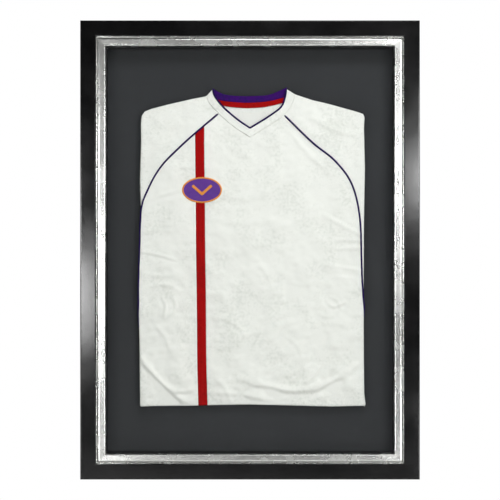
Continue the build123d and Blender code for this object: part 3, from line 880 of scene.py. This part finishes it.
def twill(name, dark, light, spacing):
    """Twill or satin stitch: ridges on the diagonal, so many mm apart, in two close tones."""
    made, tree, place = material(name, "UV")
    ridge = add_node(tree, "TexWave", {
        "bands_direction": "DIAGONAL", "Scale": WAVE / (spacing * MM), "Distortion": 0.8}, {
        0: place}).outputs["Fac"]
    tone = add_node(tree, "ValToRGB", {"stops": [(0.1, dark), (0.8, light)]}, {0: ridge})
    relief = add_node(tree, "Bump", {"Strength": 0.5, "Distance": 0.3 * MM}, {"Height": ridge})
    thread = add_node(tree, "BsdfPrincipled", {"Roughness": 0.5, "Specular IOR Level": 0.2}, {
        "Base Color": tone, "Normal": relief})
    add_node(tree, "OutputMaterial", {}, {0: thread})
    return made


violet_twill = twill("violet badge twill", "48107C", "5F1C97", 1.1)
amber_thread = twill("amber embroidery thread", "D9741A", "F2A03A", 1)

share = np.linspace(0, 1, 19)[:, None]
turn = np.linspace(0, 2 * np.pi, 96, endpoint=False)[None]
oval = BADGE + np.stack([BADGE_HALF[0] * share * np.cos(turn), BADGE_HALF[1] * share * np.sin(turn)], -1)
top_face = lay(oval, BADGE_LIFT)
skirt = lay(oval[-1:], BADGE_FOOT)
under_face = lay(oval[::-1], BADGE_FOOT)
closed_piece("chest_badge_patch", np.concatenate([top_face, skirt, under_face[1:]]), violet_twill,
             ("chest_badge",), np.concatenate([oval, oval[-1:], oval[::-1][1:]]))


def thread_map(body, length, girth):
    """Flat coordinates in mm for a body of thread: along it and round it."""
    return np.stack(np.broadcast_arrays(
        np.linspace(0, length, len(body))[:, None], np.linspace(0, girth, body.shape[1])[None]), -1)


RIM_STITCHES = 130
turn = np.linspace(0, 2 * np.pi, 6 * RIM_STITCHES, endpoint=False)
rim_line = BADGE + BADGE_HALF * np.stack([np.cos(turn), np.sin(turn)], 1)
path, normal = on_cloth(rim_line, RIM_LIFT)
closed_path = np.vstack([path, path[:1]])
around = np.vstack([path[-1:], closed_path, path[1:2]])
side = np.cross(normal, unit((around[2:] - around[:-2])[:-1]))
section = circle(1, 12)
lean = RIM_STITCHES * turn[:, None] + 1.5 * np.linspace(0, 2 * np.pi, 12, endpoint=False)[None]
thick = (1.0 + 0.10 * np.sin(lean)) * MM
overlock = path[:, None] + thick[..., None] * (
    RIM_HALF[0] * section[None, :, :1] * side[:, None]
    + RIM_HALF[1] * section[None, :, 1:] * normal[:, None])
overlock = np.concatenate([overlock, overlock[:1]])
closed_piece("chest_badge_rim", overlock, amber_thread,
             flat=thread_map(overlock, 190, 7))

BAR_HALF = 2.4
chevron = np.vstack([even(np.array([(-101, 113), (-84, 98)]), 60),
                     even(np.array([(-84, 98), (-67, 113)]), 60)[1:]])
path, normal = on_cloth(chevron, BADGE_LIFT)
hump = np.linspace(0, np.pi, 9)
bar_section = np.vstack([
    np.stack([-BAR_HALF * np.cos(hump), 0.45 * np.sin(hump)], 1), [(0, -0.1)]]) * MM
ridges = 1 + 0.05 * np.sin(np.arange(len(path)) * 2.1)
bar = carried(path, normal, bar_section[::-1], ridges * round_ends(len(path), 2))
closed_piece("chest_badge_chevron", bar, amber_thread, flat=thread_map(bar, 46, 6))

# ---- Back of the shirt -----------------------------------
# Behind the former lies the shirt's back, whose collar band of purple rib and red neck tape
# show inside the V. The white back cloth hangs below them.

BACK_CLOTH_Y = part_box("shirt_back_panel")[0].y
RIPPLE = 0.25


def behind_former(flat, y, ripple):
    """Flat cloth in mm to its place behind the former at depth y, with a slight ripple."""
    x, z = flat[..., 0], flat[..., 1]
    wave = np.sin(x / 13 + 1.3) * np.sin(z / 9 + x / 31) + 0.6 * np.sin(x / 6.1 + z / 17)
    return np.stack([x * MM, y + ripple * MM * wave, CENTRE_Z + z * MM], -1)


def back_cloth(node, flat, gap, finish, thickness, ripple=RIPPLE):
    """One cut piece of the shirt's back, laid flat, its face so many mm behind the former's."""
    points = behind_former(flat, BACK_CLOTH_Y + gap * MM, ripple)
    cloth(node, points, flat, finish, thickness * MM)


purple_rib = knit("purple ribbed knit", "260A58", "380264", 0.6, 0.5, rib=1)
scoop = curve([(-66, 284), (-49, 274.6), (-29, 271), (0, 270.2), (31, 272.2),
               (49, 278.4), (65, 285.5)])
band_foot = curve([(-63, 267), (-50, 262.4), (-25, 259.6), (0, 258.9), (30, 261),
                   (57, 267.2), (63.5, 270)])
tape_foot = curve([(-57, 257), (-43.4, 252.4), (-20, 249.9), (0, 249.3), (25, 250.9),
                   (54.2, 257.3), (61, 260.5)])
across, up = shares(61), shares(9)
rib_flat = coons(
    band_foot, scoop, [band_foot[0], scoop[0]], [band_foot[-1], scoop[-1]], across, up)
back_cloth("collar_band_back", rib_flat, -1.2, purple_rib, 1)
tape_flat = coons(
    tape_foot, band_foot, [tape_foot[0], band_foot[0]], [tape_foot[-1], band_foot[-1]], across, up)
red_tape = knit("red cotton neck tape", "900001", "A50202", 0.7, 0.45)
back_cloth("neck_tape", tape_flat, -1, red_tape, 0.8)
foot_left, foot_right, top_left, top_right = (-190, -268), (197, -268), (-185, 236), (192, 236)
back_top = np.vstack([[top_left, (-82, 264)], scoop[20:-20] - (0, 1.5), [(84, 264), top_right]])
back_flat = coons([foot_left, foot_right], back_top, [foot_left, top_left], [foot_right, top_right],
                  shares(100), shares(120))
back_cloth("shirt_back_panel", back_flat, 0.1, white_knit, 0.7, 0.1)

# Sleeves, sides and hem are turned in behind the back and pinned. The sleeves and sides are
# each a double layer of cloth with a soft fold at its outer edge, the hem a single layer.


FLAP_ROWS = 40
FLAP_STEPS = 26
TAKEN_UP = 1.02             # the cut is this much longer than the laid flap, for its ripples


def folded(node, inner, outer, layers=2):
    """A flap between an inner and an outer line. A doubled one goes out in front, turns round a half
    circle at the fold and comes back behind."""
    low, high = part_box(node)
    middle = (low.y + high.y) / 2
    half = (high.y - low.y) / 2 - CLOTH / 2 - 0.05 * MM if layers == 2 else 0.0
    out = np.linspace(0, 1, FLAP_STEPS)
    width = np.linalg.norm(np.array(inner[0]) - np.array(outer[0])) * MM
    bend = np.linspace(-np.pi / 2, np.pi / 2, 7)[1:-1]
    reach = 1 - half / width
    share = np.concatenate([out * reach, reach + np.cos(bend) * half / width, out[::-1] * reach])
    y = np.concatenate([
        np.full(FLAP_STEPS, middle - half), middle + half * np.sin(bend),
        np.full(FLAP_STEPS, middle + half)])
    if layers == 1:
        share, y = out, np.full(FLAP_STEPS, middle - CLOTH / 2)
    a = even(np.array(inner, float), FLAP_ROWS)[:, None]
    b = even(np.array(outer, float), FLAP_ROWS)[:, None]
    place = a + (b - a) * share[None, :, None]
    ripple = 0.12 * MM * np.sin(place[..., 0] / 11 + place[..., 1] / 17)
    points = np.stack([
        place[..., 0] * MM, np.broadcast_to(y, place.shape[:2]) + ripple,
        CENTRE_Z + place[..., 1] * MM], -1)
    run = np.cumsum(np.abs(np.diff(share, prepend=0))) * width / MM
    length = distance_along(b[:, 0])
    flat = np.stack(np.broadcast_arrays(run[None], length[:, None]), -1)
    size = (float(run[-1]) * MM * TAKEN_UP, float(length[-1]) * MM * TAKEN_UP)
    cloth(node, points, flat, white_knit, 0.6 * MM, 0, size)


for sign, name, edge in ((-1, "left", 188), (1, "right", 196.5)):
    folded(f"folded_sleeve_{name}", [(sign * 78, 22), (sign * 70, 188)],
           [(sign * edge, 68), (sign * edge, 220)])
    folded(f"folded_side_{name}", [(sign * 101, -268), (sign * 101, 14)],
           [(sign * edge, -268), (sign * edge, 53)])
folded("folded_hem", [(-95, -224), (95, -224)], [(-95, -268), (95, -268)], 1)

# ---- Backing board ---------------------------------------
# A sheet of 3 mm tempered hardboard closes the back: hard brown fibre with a smooth, slightly
# waxy face, flecked darker where fibres lie.

dress("backing_board", matt_surface(
    "brown tempered hardboard", [(0.32, "5B3D24"), (0.5, "7A5534"), (0.68, "8F6A45")],
    2.6, 0.25, 0.62, drift=45, detail=4, share=0.4, shine=0.5))

# ---- Back hardware ---------------------------------------
# Zinc-plated turn buttons hold the backing board in, each on a pan-head screw that it turns
# round. Two D-rings hang in rolled straps, and V-nails lock the mitres.

for name in [f"turn_button_{number}" for number in range(1, 9)] + [
        "turn_button_screws", "hanger_screws", "hanger_strap_left", "hanger_strap_right",
        "frame_v_nails", "slip_v_nails"]:
    dress(name, zinc)
ring_wire = plated_steel("nickel-plated ring wire", "B4B5B2", "D6D7D3", 0.18)
for side in ("left", "right"):
    dress(f"hanger_ring_{side}", ring_wire)

# ---- Wall bumpers ----------------------------------------
# Four moulded rubber feet, glued on near the corners, keep the frame off the wall. Each tapers a
# little from its glued base to a rounded edge and a slightly dished face.

rubber = matt_surface("black moulded rubber", [(0.3, "161617"), (0.7, "222223")], 1.1, 0.3, 0.7,
                      drift=25, detail=4, share=1, shine=0.4, tooth_detail=4)
foot_low, foot_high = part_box("wall_bumpers")
FOOT_R = 6 * MM
foot_height = foot_high.y - foot_low.y
bend = np.linspace(0, np.pi / 2, 7)
foot_profile = np.vstack([      # radius over FOOT_R, and height over foot_height
    [(0, 0), (0.6, 0), (0.97, 0), (1, 0.04), (0.97, 0.35)],
    np.stack([0.70 + 0.22 * np.cos(bend), 0.78 + 0.22 * np.sin(bend)], 1),
    [(0.55, 0.965), (0.30, 0.93), (0, 0.92)]])
turn = np.linspace(0, 2 * np.pi, 40, endpoint=False)
for number, (across, up) in enumerate(((-1, -1), (1, -1), (-1, 1), (1, 1)), start=1):
    x = foot_low.x + FOOT_R if across < 0 else foot_high.x - FOOT_R
    z = foot_low.z + FOOT_R if up < 0 else foot_high.z - FOOT_R
    radius = FOOT_R * foot_profile[:, :1]
    y = foot_low.y + foot_height * foot_profile[:, 1:]
    body = np.stack(np.broadcast_arrays(x + radius * np.cos(turn), y, z + radius * np.sin(turn)), -1)
    closed_piece(f"wall_bumper_{number}", body, rubber,
                 ("wall_bumpers",) if number == 1 else ())
